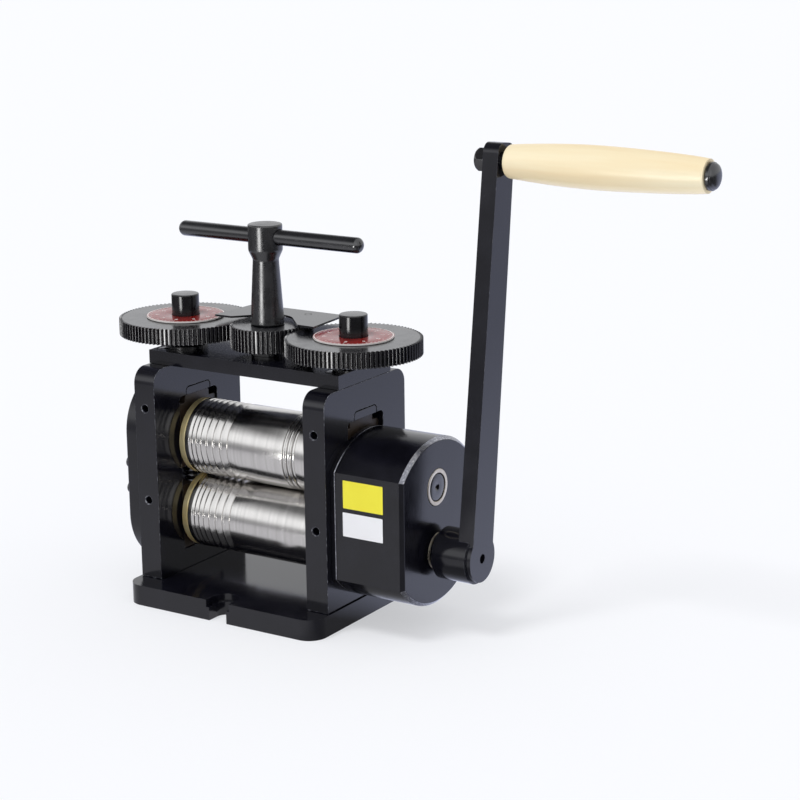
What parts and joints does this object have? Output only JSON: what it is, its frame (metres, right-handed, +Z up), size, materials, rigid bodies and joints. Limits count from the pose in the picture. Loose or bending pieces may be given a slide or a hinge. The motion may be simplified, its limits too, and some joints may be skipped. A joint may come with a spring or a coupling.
{
  "type": "jewellers rolling mill",
  "caption": "Hand cranked rolling mill with grooved steel rollers, geared gap setting under a T-handle, reduction gearbox and a slotted base plate.",
  "frame": {"origin": "middle of the base plate's underside", "axes": "+X along the rollers towards the crank, +Y to the back, +Z up"},
  "size_m": [0.4069, 0.125, 0.3067],
  "materials": {
    "black_paint": "semi-gloss black paint",
    "black_steel": "blackened steel",
    "polished_steel": "ground and polished",
    "bright_steel": "machined",
    "bronze": "machined bronze",
    "dial_red": "gloss red enamel",
    "beech": "clear lacquered beech"
  },
  "bodies": {
    "frame": {"base_plate": "black_paint", "crosshead": "black_paint", "side_plate_left": "black_paint", "side_plate_right": "black_paint", "lower_bearing_left": "bronze", "lower_bearing_right": "bronze", "return_spring_left": "bright_steel", "return_spring_right": "bright_steel", "base_screw_1": "black_steel", "base_screw_2": "black_steel", "base_screw_3": "black_steel", "base_screw_4": "black_steel", "crosshead_screw_1": "black_steel", "crosshead_screw_2": "black_steel", "crosshead_screw_3": "black_steel", "crosshead_screw_4": "black_steel", "left_gear_cover": "black_paint", "cover_screw_1": "black_steel", "cover_screw_2": "black_steel", "cover_screw_3": "black_steel", "cover_screw_4": "black_steel", "gearbox_flange": "black_paint", "gearbox_housing": "black_paint", "gearbox_screw_1": "black_steel", "gearbox_screw_2": "black_steel", "gearbox_screw_3": "black_steel", "gearbox_screw_4": "black_steel", "countershaft_bush": "bronze", "crank_bush": "bronze", "pinion_stud": "black_steel", "pointer_plate": "black_steel", "pointer_standoff_left": "black_steel", "pointer_standoff_right": "black_steel"},
    "crank": {"crank_shaft": "bright_steel", "crank_arm": "black_steel", "crank_set_screw": "black_steel", "handle_bolt": "black_steel", "handle_nut": "black_steel"},
    "grip_sleeve": {"grip": "beech"},
    "countershaft_group": {"countershaft": "bright_steel", "countershaft_gear": "bright_steel"},
    "lower_roller_group": {"lower_roller": "polished_steel", "roller_drive_gear": "bright_steel", "roller_gear_lower": "bright_steel"},
    "upper_carriage": {"upper_bearing_left": "bronze", "upper_bearing_right": "bronze"},
    "upper_roller_group": {"upper_roller": "polished_steel", "roller_gear_upper": "bright_steel"},
    "t_handle": {"pinion_gear": "black_steel", "t_handle_post": "black_steel", "t_handle_bar": "black_steel"},
    "screw_left": {"adjusting_screw_left": "black_steel", "screw_key_left": "bright_steel"},
    "screw_right": {"adjusting_screw_right": "black_steel", "screw_key_right": "bright_steel"},
    "dial_left": {"dial_gear_left": "black_steel", "dial_plate_left": "dial_red"},
    "dial_right": {"dial_gear_right": "black_steel", "dial_plate_right": "dial_red"}
  },
  "joints": [
    {"name": "crank_turn", "type": "hinge", "parent": "frame", "child": "crank", "pos_m": [0.14, 0, 0.0513], "axis": [1, 0, 0], "continuous": true},
    {"name": "grip_spin", "type": "hinge", "parent": "crank", "child": "grip_sleeve", "pos_m": [0.226, 0.02889, 0.29358], "axis": [1, 0, 0], "continuous": true},
    {"name": "countershaft_turn", "type": "hinge", "parent": "frame", "child": "countershaft_group", "pos_m": [0.1, 0, 0.09255], "axis": [1, 0, 0], "continuous": true},
    {"name": "lower_roller_turn", "type": "hinge", "parent": "frame", "child": "lower_roller_group", "pos_m": [0, 0, 0.0513], "axis": [1, 0, 0], "continuous": true},
    {"name": "gap_setting", "type": "hinge", "parent": "frame", "child": "t_handle", "pos_m": [0, 0, 0.1756], "axis": [0, 0, -1], "range_deg": [0, 2188]},
    {"name": "carriage_lift", "type": "slide", "parent": "frame", "child": "upper_carriage", "axis": [0, 0, 1], "range_m": [0, 0.005], "deforming": ["return_spring_left", "return_spring_right"]},
    {"name": "upper_roller_turn", "type": "hinge", "parent": "upper_carriage", "child": "upper_roller_group", "pos_m": [0, 0, 0.1016], "axis": [1, 0, 0], "continuous": true},
    {"name": "screw_left_turn", "type": "hinge", "parent": "upper_carriage", "child": "screw_left", "pos_m": [-0.066, 0, 0.18], "axis": [0, 0, 1], "range_deg": [0, 1200]},
    {"name": "screw_right_turn", "type": "hinge", "parent": "upper_carriage", "child": "screw_right", "pos_m": [0.066, 0, 0.18], "axis": [0, 0, 1], "range_deg": [0, 1200]},
    {"name": "dial_left_turn", "type": "hinge", "parent": "frame", "child": "dial_left", "pos_m": [-0.066, 0, 0.1756], "axis": [0, 0, 1], "range_deg": [0, 1200]},
    {"name": "dial_right_turn", "type": "hinge", "parent": "frame", "child": "dial_right", "pos_m": [0.066, 0, 0.1756], "axis": [0, 0, 1], "range_deg": [0, 1200]}
  ],
  "couplings": [
    {"joint": "countershaft_turn", "follows": "crank_turn", "ratio": -0.5},
    {"joint": "lower_roller_turn", "follows": "crank_turn", "ratio": 0.25},
    {"joint": "upper_roller_turn", "follows": "crank_turn", "ratio": -0.25},
    {"joint": "carriage_lift", "follows": "gap_setting", "m_per_rad": 0.00013092},
    {"joint": "screw_left_turn", "follows": "gap_setting", "ratio": 0.54839},
    {"joint": "screw_right_turn", "follows": "gap_setting", "ratio": 0.54839},
    {"joint": "dial_left_turn", "follows": "gap_setting", "ratio": 0.54839},
    {"joint": "dial_right_turn", "follows": "gap_setting", "ratio": 0.54839}
  ]
}
